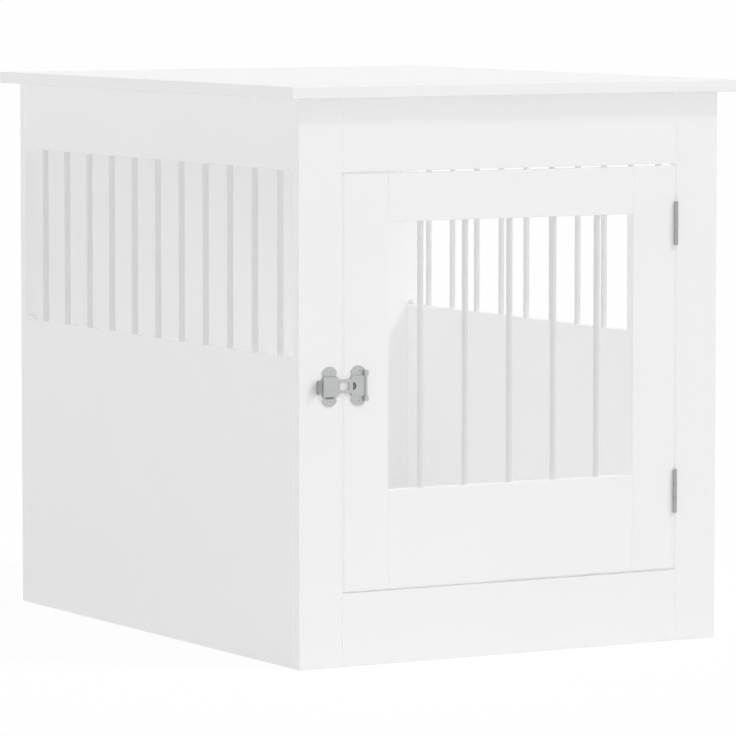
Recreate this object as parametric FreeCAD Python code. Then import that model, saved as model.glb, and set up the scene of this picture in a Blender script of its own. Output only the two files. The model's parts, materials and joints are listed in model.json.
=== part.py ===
"""Dog crate end table: a board cabinet with barred sides and a barred, hinged front door.

Millimetres. X runs along the front, Y from the front to the back, Z up. The origin lies on
the floor under the middle of the table top. Each function makes one kind of piece.
"""
import FreeCAD, Part
import math
import os

V = FreeCAD.Vector

# Cabinet
body_w = 605.0           # width of the cabinet under the top
body_d = 765.0           # depth of the cabinet under the top
body_h = 695.0           # height of the cabinet under the top
board_t = 15.0           # thickness of the cabinet's and the door's boards
top_t = 15.0             # thickness of the table top
overhang = 20.0          # how far the top stands out on all four sides
top_round = 1.5          # rounding along the top's edges
edge_ease = 0.5          # chamfer along every other board edge

# Front frame
stile_w = 60.0           # the two full-height stiles
top_rail_h = 90.0
bottom_rail_h = 90.0

# Sides and floor
side_panel_h = 380.0     # low board of each side
side_rail_h = 87.0       # upper rail of each side
floor_t = 15.0
floor_z = 60.0           # underside of the floor board

# Upright bars
bar_d = 8.0
bar_seat = 10.0          # how deep a bar's end sits in its board
bar_fit = 0.05           # radial clearance of a bar in its bore
bar_chamfer = 0.6
side_bars = 11
side_bar_margin = 60.0   # from the cabinet's front and back faces to the end bars' centres
door_bars = 5
door_bar_pitch = 64.0

# Door
door_gap = 3.0           # gap round the door in its frame
door_stile_w = 62.0
door_top_h = 59.0
door_bottom_h = 121.0

# Dowels
dowel_d = 8.0
dowel_fit = 0.05
dowel_in_face = 10.0     # depth of a dowel in a board's face or in a stile's edge
dowel_in_edge = 20.0     # depth of a dowel in the board that butts against it
dowel_chamfer = 1.0

# Cam bolts and cam locks
cam_d = 15.0
cam_h = 12.0
cam_fit = 0.1
cam_setback = 24.0       # from the board's edge to the lock's centre
cam_slot_w = 1.6
cam_slot_deep = 2.0
bolt_thread_d = 5.0
bolt_thread_deep = 11.0
bolt_shank_d = 4.4
bolt_head_d = 6.4
bolt_head_l = 4.0
bolt_channel_d = 7.0

# Where the dowels and the cam fittings sit
side_cam_up = 130.0          # above a low board's lower edge
side_cam_down = 60.0         # below its upper edge
side_dowel_up = 40.0
side_dowel_down = 155.0
side_rail_cam_up = 52.0      # above the upper rail's lower edge
side_rail_dowel_up = 22.0
top_cam_y = 200.0            # from the middle, along the side rails
top_dowel_y = 300.0
top_cam_x = 180.0            # from the middle, along the front rail and the back board
top_dowel_x = 100.0
floor_cam_y = 250.0
floor_dowel_x = 150.0
rail_dowel_inset = 22.0      # from a rail's upper and lower edge to its dowels

# Butt hinges
hinge_h = 53.0
hinge_up = 98.0              # from the door's lower edge to the lower hinge's centre
hinge_down = 72.0            # from the door's upper edge to the upper hinge's centre
hinge_leaf_t = 1.2
hinge_leaf_in = 12.5         # how far a leaf reaches into the door gap
barrel_d = 5.0
barrel_clear = 0.2           # between the barrel and the plane of the front
barrel_in = 1.2              # from the gap's middle to the pin, on the door's side
knuckle_gap = 0.4            # between neighbouring knuckles
knuckle_room = 0.8           # radial room that a leaf leaves round the other leaf's knuckles
pin_d = 2.6
pin_fit = 0.05               # radial running clearance of the pins
pin_head_d = 4.4
pin_head_h = 1.0
hinge_screw_span = 32.0      # between a leaf's two screws
screw_shank_d = 3.0
screw_head_d = 5.6
screw_l = 15.0
screw_fit = 0.05

# Hasp latch
latch_drop = 3.0             # how far the latch sits below the door's middle
latch_cabinet_x = 42.0       # from the cabinet's left face to its plate's centre
latch_door_x = 82.0          # from the cabinet's left face to the door plate's centre
latch_plate_w = 21.5
latch_plate_h = 49.0
latch_plate_t = 1.5
latch_screw_span = 37.0
latch_screw_l = 13.0
latch_waist = 1.8            # depth of the notches beside a plate's round ends
latch_waist_r = 3.5
flap_t = 1.4
flap_clear = 0.3             # between the flap and what it lies over
flap_h = 25.0                # height of the flap's head and root
flap_neck_h = 17.0
flap_window_w = 13.0
flap_window_h = 9.0
flap_corner_r = 3.0
head_rise = 1.8              # how much the pressed head stands above the flap
d_hole_r = 4.8               # half-round hole in the flap's root
d_hole_x = 2.2               # from the root's free edge to the hole's straight side
flap_barrel_d = 3.4
flap_ear_d = 6.2             # the door plate's two knuckles, above and below the flap's own
flap_ear_h = 6.0
flap_pin_in = 1.1            # from the door plate's free edge in to the pin
flap_pin_d = 1.8
flap_pin_chamfer = 0.2
tab_h = 16.0                 # finger tab
tab_reach = 5.0              # straight part of the tab
tab_bend_r = 3.4             # inner radius of its outward curl
tab_lip = 2.6                # straight lip after the curl
stud_d = 6.0
stud_foot_d = 9.0
stud_foot_t = 0.6

# Planes that several pieces share
front = -body_d / 2
back = body_d / 2
side = body_w / 2
inner_front = front + board_t
inner_back = back - board_t
inner_side = side - board_t
front_mid = front + board_t / 2
back_mid = back - board_t / 2
side_mid = side - board_t / 2
opening_x = side - stile_w
opening_z0 = bottom_rail_h
opening_z1 = body_h - top_rail_h
side_rail_z = body_h - side_rail_h
door_x = opening_x - door_gap
door_z0 = opening_z0 + door_gap
door_z1 = opening_z1 - door_gap
window_x = door_x - door_stile_w
window_z0 = door_z0 + door_bottom_h
window_z1 = door_z1 - door_top_h
side_cam_z = (side_cam_up, side_panel_h - side_cam_down)
side_dowel_z = (side_dowel_up, side_panel_h - side_dowel_down)
hinge_z = (door_z0 + hinge_up, door_z1 - hinge_down)
latch_z = (door_z0 + door_z1) / 2 - latch_drop
gap_x = opening_x - door_gap / 2
barrel_x = gap_x - barrel_in
barrel_y = front - barrel_clear - barrel_d / 2
cabinet_plate_x = latch_cabinet_x - side
door_plate_x = latch_door_x - side
flap_pin_x = door_plate_x + latch_plate_w / 2 - flap_pin_in
flap_pin_y = front - latch_plate_t - flap_clear - flap_barrel_d / 2
root_x0 = door_plate_x - latch_plate_w / 2


# ---------------------------------------------------------------- basic forms
def block(x0, x1, y0, y1, z0, z1):
    """Plain block between two corners."""
    return Part.makeBox(x1 - x0, y1 - y0, z1 - z0, V(x0, y0, z0))


def board(x0, x1, y0, y1, z0, z1):
    """Board with its edges eased."""
    blank = block(x0, x1, y0, y1, z0, z1)
    return blank.makeChamfer(edge_ease, blank.Edges)


def rod(diameter, start, end, chamfer=0.0):
    """Round rod between two points, with chamfered ends if asked for."""
    way = end.sub(start)
    rod_blank = Part.makeCylinder(diameter / 2, way.Length, start, way)
    if chamfer <= 0:
        return rod_blank
    rims = [edge for edge in rod_blank.Edges if edge.Closed and len(edge.Vertexes) == 1]
    return rod_blank.makeChamfer(chamfer, rims)


def rounded_plate(x0, x1, z0, z1, radius, y0, y1):
    """Upright plate parallel to the front, with rounded corners."""
    plate = block(x0, x1, y0, y1, z0, z1)
    corners = [edge for edge in plate.Edges if abs(edge.Vertexes[0].Y - edge.Vertexes[-1].Y) > 1e-6]
    return plate.makeFillet(radius, corners)


def turned(profile, base, axis):
    """Revolve (radius, height) points round an axis that starts at base."""
    points = [V(radius, 0, height) for radius, height in profile]
    wire = Part.makePolygon(points + points[:1])
    form = Part.Face(wire).revolve(V(0, 0, 0), V(0, 0, 1), 360)
    form.Placement = FreeCAD.Placement(base, FreeCAD.Rotation(V(0, 0, 1), axis))
    return form


def spread(count, first, last):
    """Evenly spaced places from first to last."""
    return [first + (last - first) * k / (count - 1) for k in range(count)]


# ---------------------------------------------------------------- boards
def top_board():
    """Table top, its edges rounded."""
    x = side + overhang
    y = back + overhang
    blank = block(-x, x, -y, y, body_h, body_h + top_t)
    return blank.makeFillet(top_round, blank.Edges)


def cabinet_boards():
    """Every board of the cabinet, before its bores."""
    boards = {
        "top_board": top_board(),
        "back_panel": board(-side, side, inner_back, back, 0, body_h),
        "front_top_rail": board(-opening_x, opening_x, front, inner_front, opening_z1, body_h),
        "front_bottom_rail": board(-opening_x, opening_x, front, inner_front, 0, opening_z0),
        "floor_panel": board(-inner_side, inner_side, inner_front, inner_back,
                             floor_z, floor_z + floor_t),
    }
    for name, x0, x1 in (("left", -side, -inner_side), ("right", inner_side, side)):
        boards[name + "_side_lower_panel"] = board(x0, x1, inner_front, inner_back, 0, side_panel_h)
        boards[name + "_side_upper_rail"] = board(x0, x1, inner_front, inner_back, side_rail_z, body_h)
    for name, x0, x1 in (("left", -side, -opening_x), ("right", opening_x, side)):
        boards["front_" + name + "_stile"] = board(x0, x1, front, inner_front, 0, body_h)
    return boards


def door_boards():
    """The door's four boards, before their bores."""
    y0, y1 = front, inner_front
    return {
        "door_left_stile": board(-door_x, -window_x, y0, y1, door_z0, door_z1),
        "door_right_stile": board(window_x, door_x, y0, y1, door_z0, door_z1),
        "door_top_rail": board(-window_x, window_x, y0, y1, window_z1, door_z1),
        "door_bottom_rail": board(-window_x, window_x, y0, y1, door_z0, window_z0),
    }


# ---------------------------------------------------------------- bars
def bar_row(places, z0, z1):
    """Upright bars at the given (x, y) places, seated in the boards below and above."""
    return [rod(bar_d, V(x, y, z0 - bar_seat), V(x, y, z1 + bar_seat), bar_chamfer)
            for x, y in places]


def bore_bars(boards, lower, upper, places, z0, z1):
    """Bore the bars' blind seats into the board below and the board above."""
    for x, y in places:
        bore = rod(bar_d + 2 * bar_fit, V(x, y, z0 - bar_seat), V(x, y, z1 + bar_seat))
        boards[lower] = boards[lower].cut(bore)
        boards[upper] = boards[upper].cut(bore)


def all_bars(boards):
    """Bars of both sides and of the door, with their seats bored."""
    groups = {}
    along = spread(side_bars, front + side_bar_margin, back - side_bar_margin)
    for name, x in (("left", -side_mid), ("right", side_mid)):
        places = [(x, y) for y in along]
        bore_bars(boards, name + "_side_lower_panel", name + "_side_upper_rail",
                  places, side_panel_h, side_rail_z)
        groups[name + "_side_bars"] = bar_row(places, side_panel_h, side_rail_z)
    reach = door_bar_pitch * (door_bars - 1) / 2
    places = [(x, front_mid) for x in spread(door_bars, -reach, reach)]
    bore_bars(boards, "door_bottom_rail", "door_top_rail", places, window_z0, window_z1)
    groups["door_bars"] = bar_row(places, window_z0, window_z1)
    return groups


# ---------------------------------------------------------------- dowels
def dowel(boards, face_board, edge_board, place, way):
    """Dowel that points from one board's face into the other's edge, bored into both."""
    start = place.sub(way * dowel_in_face)
    end = place.add(way * dowel_in_edge)
    bore = rod(dowel_d + 2 * dowel_fit, start, end)
    boards[face_board] = boards[face_board].cut(bore)
    boards[edge_board] = boards[edge_board].cut(bore)
    return rod(dowel_d, start, end, dowel_chamfer)


def cabinet_dowels(boards):
    """Dowels of the front frame, the sides, the top and the floor."""
    pegs = []
    rails = (("front_top_rail", opening_z1, body_h), ("front_bottom_rail", 0, opening_z0))
    for name, sign in (("left", -1), ("right", 1)):
        stile = "front_" + name + "_stile"
        inward = V(-sign, 0, 0)
        for rail, z0, z1 in rails:
            for z in (z0 + rail_dowel_inset, z1 - rail_dowel_inset):
                pegs.append(dowel(boards, stile, rail, V(sign * opening_x, front_mid, z), inward))
        panel = name + "_side_lower_panel"
        rail = name + "_side_upper_rail"
        x = sign * side_mid
        for receiver, y, way in ((stile, inner_front, V(0, 1, 0)), ("back_panel", inner_back, V(0, -1, 0))):
            for z in side_dowel_z:
                pegs.append(dowel(boards, receiver, panel, V(x, y, z), way))
            pegs.append(dowel(boards, receiver, rail, V(x, y, side_rail_z + side_rail_dowel_up), way))
        for y in (-top_dowel_y, top_dowel_y):
            pegs.append(dowel(boards, "top_board", rail, V(x, y, body_h), V(0, 0, -1)))
        for edge_board, y in (("front_top_rail", front_mid), ("back_panel", back_mid)):
            place = V(sign * top_dowel_x, y, body_h)
            pegs.append(dowel(boards, "top_board", edge_board, place, V(0, 0, -1)))
        floor_mid = floor_z + floor_t / 2
        for receiver, y, way in (("front_bottom_rail", inner_front, V(0, 1, 0)),
                                 ("back_panel", inner_back, V(0, -1, 0))):
            place = V(sign * floor_dowel_x, y, floor_mid)
            pegs.append(dowel(boards, receiver, "floor_panel", place, way))
    return pegs


def door_dowels(boards):
    """Two dowels in each corner of the door frame."""
    pegs = []
    rails = (("door_top_rail", window_z1, door_z1), ("door_bottom_rail", door_z0, window_z0))
    for name, sign in (("left", -1), ("right", 1)):
        for rail, z0, z1 in rails:
            for z in (z0 + rail_dowel_inset, z1 - rail_dowel_inset):
                place = V(sign * window_x, front_mid, z)
                pegs.append(dowel(boards, "door_" + name + "_stile", rail, place, V(-sign, 0, 0)))
    return pegs


# ---------------------------------------------------------------- cam fittings
def cam_bolt():
    """Bolt with its thread below the joint's plane and its head in the lock, along +Z."""
    head_top = cam_setback + bolt_head_l / 2
    head_foot = cam_setback - bolt_head_l / 2
    thread = bolt_thread_d / 2
    shank = bolt_shank_d / 2
    head = bolt_head_d / 2
    profile = [(0, -bolt_thread_deep), (thread, -bolt_thread_deep), (thread, 0), (shank, 0),
               (shank, head_foot), (head, head_foot), (head, head_top), (0, head_top)]
    return turned(profile, V(0, 0, 0), V(0, 0, 1))


def cam_lock(thickness):
    """Round lock in the board's face, open towards the joint for the bolt's head."""
    face = thickness / 2
    lock = rod(cam_d, V(face, 0, cam_setback), V(face - cam_h, 0, cam_setback))
    pocket = rod(bolt_channel_d, V(0, 0, 0), V(0, 0, cam_setback + bolt_head_l))
    slot = block(face - cam_slot_deep, face, -cam_slot_w / 2, cam_slot_w / 2,
                 cam_setback - cam_d / 3, cam_setback + cam_d / 3)
    return lock.cut(pocket).cut(slot)


def cam_fitting(boards, face_board, edge_board, place, way, open_side, thickness):
    """Bolt screwed into one board's face and lock let into the other, bored into both."""
    turn = FreeCAD.Rotation(open_side, way.cross(open_side), way, "ZXY")
    seat = FreeCAD.Placement(place, turn)
    face = thickness / 2
    channel = rod(bolt_channel_d, V(0, 0, 0), V(0, 0, cam_setback))
    lock_bore = rod(cam_d + 2 * cam_fit, V(face, 0, cam_setback), V(face - cam_h, 0, cam_setback))
    thread_bore = rod(bolt_thread_d, V(0, 0, -bolt_thread_deep), V(0, 0, 0))
    edge_tool = channel.fuse(lock_bore)
    bolt = cam_bolt()
    lock = cam_lock(thickness)
    for form in (edge_tool, thread_bore, bolt, lock):
        form.Placement = seat.multiply(form.Placement)
    boards[edge_board] = boards[edge_board].cut(edge_tool)
    boards[face_board] = boards[face_board].cut(thread_bore)
    return bolt, lock


def cam_fittings(boards):
    """All cam bolts and cam locks of the cabinet."""
    pairs = []
    down = V(0, 0, -1)
    for name, sign in (("left", -1), ("right", 1)):
        stile = "front_" + name + "_stile"
        panel = name + "_side_lower_panel"
        rail = name + "_side_upper_rail"
        inward = V(-sign, 0, 0)
        x = sign * side_mid
        for receiver, y, way in ((stile, inner_front, V(0, 1, 0)), ("back_panel", inner_back, V(0, -1, 0))):
            for z in side_cam_z:
                pairs.append(cam_fitting(boards, receiver, panel, V(x, y, z), way, inward, board_t))
            place = V(x, y, side_rail_z + side_rail_cam_up)
            pairs.append(cam_fitting(boards, receiver, rail, place, way, inward, board_t))
        for y in (-top_cam_y, top_cam_y):
            pairs.append(cam_fitting(boards, "top_board", rail, V(x, y, body_h), down, inward, board_t))
        for edge_board, y, facing in (("front_top_rail", front_mid, V(0, 1, 0)),
                                      ("back_panel", back_mid, V(0, -1, 0))):
            place = V(sign * top_cam_x, y, body_h)
            pairs.append(cam_fitting(boards, "top_board", edge_board, place, down, facing, board_t))
        for y in (-floor_cam_y, floor_cam_y):
            place = V(sign * inner_side, y, floor_z + floor_t / 2)
            pairs.append(cam_fitting(boards, panel, "floor_panel", place, inward, down, floor_t))
    return [bolt for bolt, lock in pairs], [lock for bolt, lock in pairs]


# ---------------------------------------------------------------- screws
def screw(head_face, way, length):
    """Countersunk screw whose flat head lies at head_face and whose tip points along way."""
    head = screw_head_d / 2
    shank = screw_shank_d / 2
    cone = head - shank
    profile = [(0, 0), (head, 0), (shank, cone), (shank, length - 2 * shank), (0, length)]
    return turned(profile, head_face, way)


def screw_bore(head_face, way, length):
    """The room that such a screw takes in the pieces it goes through."""
    head = screw_head_d / 2 + screw_fit
    shank = screw_shank_d / 2 + screw_fit
    cone = head - shank
    profile = [(0, 0), (head, 0), (shank, cone), (shank, length), (0, length)]
    return turned(profile, head_face, way)


# ---------------------------------------------------------------- butt hinges
def knuckle_heights(z_mid):
    """Lower and upper edge of a hinge's three knuckles."""
    half_gap = knuckle_gap / 2
    edge = hinge_h / 6
    return [(z_mid - hinge_h / 2, z_mid - edge - half_gap),
            (z_mid - edge + half_gap, z_mid + edge - half_gap),
            (z_mid + edge + half_gap, z_mid + hinge_h / 2)]


def hinge_screw_places(z_mid, sign):
    """Head centres of a leaf's screws; sign is +1 on the frame and -1 on the door."""
    x = gap_x + sign * (door_gap / 2 - hinge_leaf_t)
    y = front + hinge_leaf_in / 2
    return [V(x, y, z_mid + half * hinge_screw_span / 2) for half in (-1, 1)]


def hinge_leaf(z_mid, sign, own):
    """Leaf in the door gap with its own knuckles round the pin."""
    x_in = gap_x + sign * (door_gap / 2 - hinge_leaf_t)
    x_out = gap_x + sign * door_gap / 2
    foot = z_mid - hinge_h / 2
    leaf = block(min(x_in, x_out), max(x_in, x_out), barrel_y, front + hinge_leaf_in, foot, foot + hinge_h)
    knuckles = knuckle_heights(z_mid)
    for k, (z0, z1) in enumerate(knuckles):
        if k in own:
            leaf = leaf.fuse(rod(barrel_d, V(barrel_x, barrel_y, z0), V(barrel_x, barrel_y, z1)))
        else:
            room = rod(barrel_d + 2 * knuckle_room, V(barrel_x, barrel_y, z0 - knuckle_gap),
                       V(barrel_x, barrel_y, z1 + knuckle_gap))
            leaf = leaf.cut(room)
    below = V(barrel_x, barrel_y, foot - knuckle_gap)
    above = V(barrel_x, barrel_y, foot + hinge_h + knuckle_gap)
    leaf = leaf.cut(rod(pin_d + 2 * pin_fit, below, above))
    for place in hinge_screw_places(z_mid, sign):
        leaf = leaf.cut(screw_bore(place, V(sign, 0, 0), screw_l))
    return leaf.removeSplitter()


def hinge_pin(z_mid):
    """Pin with a flat head at each end."""
    half = hinge_h / 2
    shaft = pin_d / 2
    head = pin_head_d / 2
    profile = [(0, -half - pin_head_h), (head, -half - pin_head_h), (head, -half), (shaft, -half),
               (shaft, half), (head, half), (head, half + pin_head_h), (0, half + pin_head_h)]
    return turned(profile, V(barrel_x, barrel_y, z_mid), V(0, 0, 1))


def hinges(boards):
    """Both hinges with their screws, bored into the stiles that they join."""
    parts = {"frame_hinge_screws": [], "door_hinge_screws": []}
    for name, z_mid in zip(("lower", "upper"), hinge_z):
        parts[name + "_hinge_frame_leaf"] = [hinge_leaf(z_mid, 1, (0, 2))]
        parts[name + "_hinge_door_leaf"] = [hinge_leaf(z_mid, -1, (1,))]
        parts[name + "_hinge_pin"] = [hinge_pin(z_mid)]
        for group, stile, sign in (("frame_hinge_screws", "front_right_stile", 1),
                                   ("door_hinge_screws", "door_right_stile", -1)):
            for place in hinge_screw_places(z_mid, sign):
                parts[group].append(screw(place, V(sign, 0, 0), screw_l))
                boards[stile] = boards[stile].cut(screw_bore(place, V(sign, 0, 0), screw_l))
    return parts


# ---------------------------------------------------------------- hasp latch
def latch_plate(x_mid):
    """Plate with round ends, flat on the front, before its bores."""
    half_w = latch_plate_w / 2
    half_h = latch_plate_h / 2 - half_w
    plate = block(x_mid - half_w, x_mid + half_w, front - latch_plate_t, front,
                  latch_z - half_h, latch_z + half_h)
    for z in (latch_z - half_h, latch_z + half_h):
        plate = plate.fuse(rod(latch_plate_w, V(x_mid, front - latch_plate_t, z), V(x_mid, front, z)))
    notch_z = flap_h / 2 + latch_waist_r - latch_waist
    for x in (x_mid - half_w - latch_waist_r + latch_waist, x_mid + half_w + latch_waist_r - latch_waist):
        for z in (latch_z - notch_z, latch_z + notch_z):
            plate = plate.cut(rod(2 * latch_waist_r, V(x, front - latch_plate_t, z), V(x, front, z)))
    return plate.removeSplitter()


def latch_screw_places(x_mid):
    """Head centres of a plate's two screws."""
    y = front - latch_plate_t
    return [V(x_mid, y, latch_z + half * latch_screw_span / 2) for half in (-1, 1)]


def flap_outline():
    """Flat of the flap: root, neck and the base of the head, seen from the front."""
    y1 = front - latch_plate_t - flap_clear
    y0 = y1 - flap_t
    half = flap_h / 2
    head_x0 = cabinet_plate_x - latch_plate_w / 2
    head_x1 = cabinet_plate_x + latch_plate_w / 2
    head = rounded_plate(head_x0, head_x1, latch_z - half, latch_z + half, flap_corner_r, y0, y1)
    root = rounded_plate(root_x0, flap_pin_x, latch_z - half, latch_z + half, flap_corner_r / 2, y0, y1)
    neck = block(head_x1 - flap_corner_r, root_x0 + flap_corner_r, y0, y1,
                 latch_z - flap_neck_h / 2, latch_z + flap_neck_h / 2)
    return head.fuse(neck).fuse(root), y0, y1


def finger_tab(y0, y1):
    """Tab that leaves the head, curls outward and ends in a straight lip."""
    head_x0 = cabinet_plate_x - latch_plate_w / 2
    inner = tab_bend_r
    outer = tab_bend_r + flap_t
    x_bend = head_x0 - tab_reach
    turn_x = x_bend - inner
    far_x = x_bend - outer
    y_centre = y0 - inner
    lip_y = y_centre - tab_lip
    half = math.sqrt(0.5)
    start_x = head_x0 + flap_corner_r
    base = latch_z - tab_h / 2
    inner_arc = Part.Arc(V(x_bend, y0, base), V(x_bend - inner * half, y_centre + inner * half, base),
                         V(turn_x, y_centre, base))
    outer_arc = Part.Arc(V(far_x, y_centre, base), V(x_bend - outer * half, y_centre + outer * half, base),
                         V(x_bend, y1, base))
    edges = [Part.LineSegment(V(start_x, y0, base), V(x_bend, y0, base)), inner_arc,
             Part.LineSegment(V(turn_x, y_centre, base), V(turn_x, lip_y, base)),
             Part.LineSegment(V(turn_x, lip_y, base), V(far_x, lip_y, base)),
             Part.LineSegment(V(far_x, lip_y, base), V(far_x, y_centre, base)), outer_arc,
             Part.LineSegment(V(x_bend, y1, base), V(start_x, y1, base)),
             Part.LineSegment(V(start_x, y1, base), V(start_x, y0, base))]
    wire = Part.Wire([edge.toShape() for edge in edges])
    return Part.Face(wire).extrude(V(0, 0, tab_h))


def latch_flap():
    """Hinged flap: pressed head over the stud, pierced neck, root with its knuckle."""
    flat, y0, y1 = flap_outline()
    half = flap_h / 2
    x0 = cabinet_plate_x - latch_plate_w / 2
    x1 = cabinet_plate_x + latch_plate_w / 2
    dome = rounded_plate(x0, x1, latch_z - half, latch_z + half, flap_corner_r, y0 - head_rise, y1)
    outer_rim = [edge for edge in dome.Edges
                 if all(abs(v.Y - (y0 - head_rise)) < 1e-6 for v in edge.Vertexes)]
    dome = dome.makeFillet(flap_t * 0.8, outer_rim)
    hollow = rounded_plate(x0 + flap_t, x1 - flap_t, latch_z - half + flap_t, latch_z + half - flap_t,
                           flap_corner_r - flap_t, y0 - head_rise + flap_t, y1)
    flap = flat.fuse(dome).fuse(finger_tab(y0, y1)).cut(hollow)
    barrel_low = V(flap_pin_x, flap_pin_y, latch_z - half)
    barrel_high = V(flap_pin_x, flap_pin_y, latch_z + half)
    flap = flap.fuse(rod(flap_barrel_d, barrel_low, barrel_high))
    flap = flap.cut(rod(flap_pin_d + 2 * pin_fit, barrel_low, barrel_high))
    window_x0 = (x1 + root_x0) / 2 - flap_window_w / 2
    window = rounded_plate(window_x0, window_x0 + flap_window_w, latch_z - flap_window_h / 2,
                           latch_z + flap_window_h / 2, 1.0, y0, y1)
    d_x = root_x0 + d_hole_x
    d_round = rod(2 * d_hole_r, V(d_x, y0, latch_z), V(d_x, y1, latch_z))
    d_side = block(d_x, d_x + d_hole_r, y0, y1, latch_z - d_hole_r, latch_z + d_hole_r)
    return flap.cut(window).cut(d_round.common(d_side)).removeSplitter()


def door_plate():
    """Door-side plate with the two knuckles that carry the flap's pin."""
    plate = latch_plate(door_plate_x)
    half = flap_h / 2 + knuckle_gap / 2
    height = flap_ear_h
    room = rod(flap_barrel_d + 2 * knuckle_room, V(flap_pin_x, flap_pin_y, latch_z - half),
               V(flap_pin_x, flap_pin_y, latch_z + half))
    plate = plate.cut(room)
    for z0 in (latch_z + half, latch_z - half - height):
        low = V(flap_pin_x, flap_pin_y, z0)
        plate = plate.fuse(rod(flap_ear_d, low, low.add(V(0, 0, height))))
    reach = half + height
    plate = plate.cut(rod(flap_pin_d + 2 * pin_fit, V(flap_pin_x, flap_pin_y, latch_z - reach),
                          V(flap_pin_x, flap_pin_y, latch_z + reach)))
    for place in latch_screw_places(door_plate_x):
        plate = plate.cut(screw_bore(place, V(0, 1, 0), latch_screw_l))
    return plate.removeSplitter()


def flap_pin():
    """Plain pin of the flap, as long as the three knuckles."""
    half = flap_h / 2 + knuckle_gap / 2 + flap_ear_h
    return rod(flap_pin_d, V(flap_pin_x, flap_pin_y, latch_z - half),
               V(flap_pin_x, flap_pin_y, latch_z + half), flap_pin_chamfer)


def cabinet_plate():
    """Cabinet-side plate, bored for its screws and the stud."""
    plate = latch_plate(cabinet_plate_x)
    for place in latch_screw_places(cabinet_plate_x):
        plate = plate.cut(screw_bore(place, V(0, 1, 0), latch_screw_l))
    return plate


def snap_stud():
    """Stud on the cabinet-side plate, with a round nose that the flap's head closes over."""
    nose_room = head_rise + flap_clear
    radius = stud_d / 2
    rise = nose_room - stud_foot_t
    profile = [(0, 0), (stud_foot_d / 2, 0), (stud_foot_d / 2, stud_foot_t), (radius, stud_foot_t),
               (radius, rise * 0.6), (radius * 0.55, rise), (0, rise)]
    return turned(profile, V(cabinet_plate_x, front - latch_plate_t, latch_z), V(0, -1, 0))


def latch(boards):
    """Every piece of the hasp latch, with its screws bored into the stiles."""
    parts = {
        "latch_cabinet_plate": [cabinet_plate()],
        "latch_stud": [snap_stud()],
        "latch_door_plate": [door_plate()],
        "latch_flap": [latch_flap()],
        "latch_pin": [flap_pin()],
    }
    for group, stile, x_mid in (("latch_cabinet_screws", "front_left_stile", cabinet_plate_x),
                                ("latch_door_screws", "door_left_stile", door_plate_x)):
        parts[group] = []
        for place in latch_screw_places(x_mid):
            parts[group].append(screw(place, V(0, 1, 0), latch_screw_l))
            boards[stile] = boards[stile].cut(screw_bore(place, V(0, 1, 0), latch_screw_l))
    return parts


# ---------------------------------------------------------------- the whole table
def build():
    """All sub-parts by name, each as one solid or a list of separate solids."""
    boards = cabinet_boards()
    boards.update(door_boards())
    groups = all_bars(boards)
    groups["cabinet_dowels"] = cabinet_dowels(boards)
    groups["door_dowels"] = door_dowels(boards)
    groups["cam_bolts"], groups["cam_locks"] = cam_fittings(boards)
    groups.update(hinges(boards))
    groups.update(latch(boards))
    for name, form in boards.items():
        groups[name] = [form]
    return groups


os.makedirs("parts", exist_ok=True)
for node, solids in build().items():
    shape = solids[0] if len(solids) == 1 else Part.makeCompound(solids)
    shape.exportStep("parts/" + node + ".step")
    print(node, len(shape.Solids), "solids, volume", round(shape.Volume / 1000, 2), "cm3")
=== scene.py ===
# %% [markdown]
# # A dog crate that is also an end table
#
# The object is a white board cabinet on the floor: a top that stands out on all sides, two
# sides with a row of upright bars above a low board, a closed back, and a framed door with
# bars of its own. The door hangs on two small butt hinges and is held by a metal hasp.
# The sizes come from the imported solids, which are already in place. This script adds what
# the eye wants: finishes, softened edges, screw heads, a few thin trims, light and a camera.

# %% Load the solids
import json
import math
import bmesh
import bpy
from mathutils import Matrix, Vector

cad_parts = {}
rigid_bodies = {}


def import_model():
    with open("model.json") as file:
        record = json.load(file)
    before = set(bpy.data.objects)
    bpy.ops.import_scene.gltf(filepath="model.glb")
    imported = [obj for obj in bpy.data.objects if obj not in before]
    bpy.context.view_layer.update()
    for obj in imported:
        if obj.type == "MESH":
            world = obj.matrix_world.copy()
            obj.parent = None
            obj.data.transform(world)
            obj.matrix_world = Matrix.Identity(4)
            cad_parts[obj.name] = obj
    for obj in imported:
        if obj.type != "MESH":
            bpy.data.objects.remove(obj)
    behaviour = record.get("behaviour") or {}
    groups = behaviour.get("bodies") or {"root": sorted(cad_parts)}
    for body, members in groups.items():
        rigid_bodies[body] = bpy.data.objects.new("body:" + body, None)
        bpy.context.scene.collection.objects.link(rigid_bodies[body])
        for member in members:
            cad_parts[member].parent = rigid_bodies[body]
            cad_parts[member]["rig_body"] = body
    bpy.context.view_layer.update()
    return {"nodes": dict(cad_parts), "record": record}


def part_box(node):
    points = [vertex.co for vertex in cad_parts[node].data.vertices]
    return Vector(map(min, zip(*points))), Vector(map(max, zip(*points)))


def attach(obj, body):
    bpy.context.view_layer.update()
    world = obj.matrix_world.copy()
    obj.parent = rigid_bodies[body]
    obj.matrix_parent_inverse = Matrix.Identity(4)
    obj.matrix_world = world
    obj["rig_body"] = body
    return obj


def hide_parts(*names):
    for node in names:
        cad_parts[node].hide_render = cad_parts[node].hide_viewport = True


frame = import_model()
mm = 0.001


# %% [markdown]
# ## Small helpers for node trees
#
# Materials and Geometry Nodes are both trees of nodes. They could be clicked together in the
# editor, but a script needs only a few verbs: add a node with its inputs, join two sockets,
# and calculate. One helper for each keeps the later cells short enough to read.

# %% Node helpers
def add_node(tree, kind, values=None, **settings):
    """Adds a node, sets its properties, then its inputs by name or number."""
    made = tree.nodes.new(kind)
    for key, value in settings.items():
        setattr(made, key, value)
    for key, value in (values or {}).items():
        made.inputs[key].default_value = value
    return made


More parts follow.
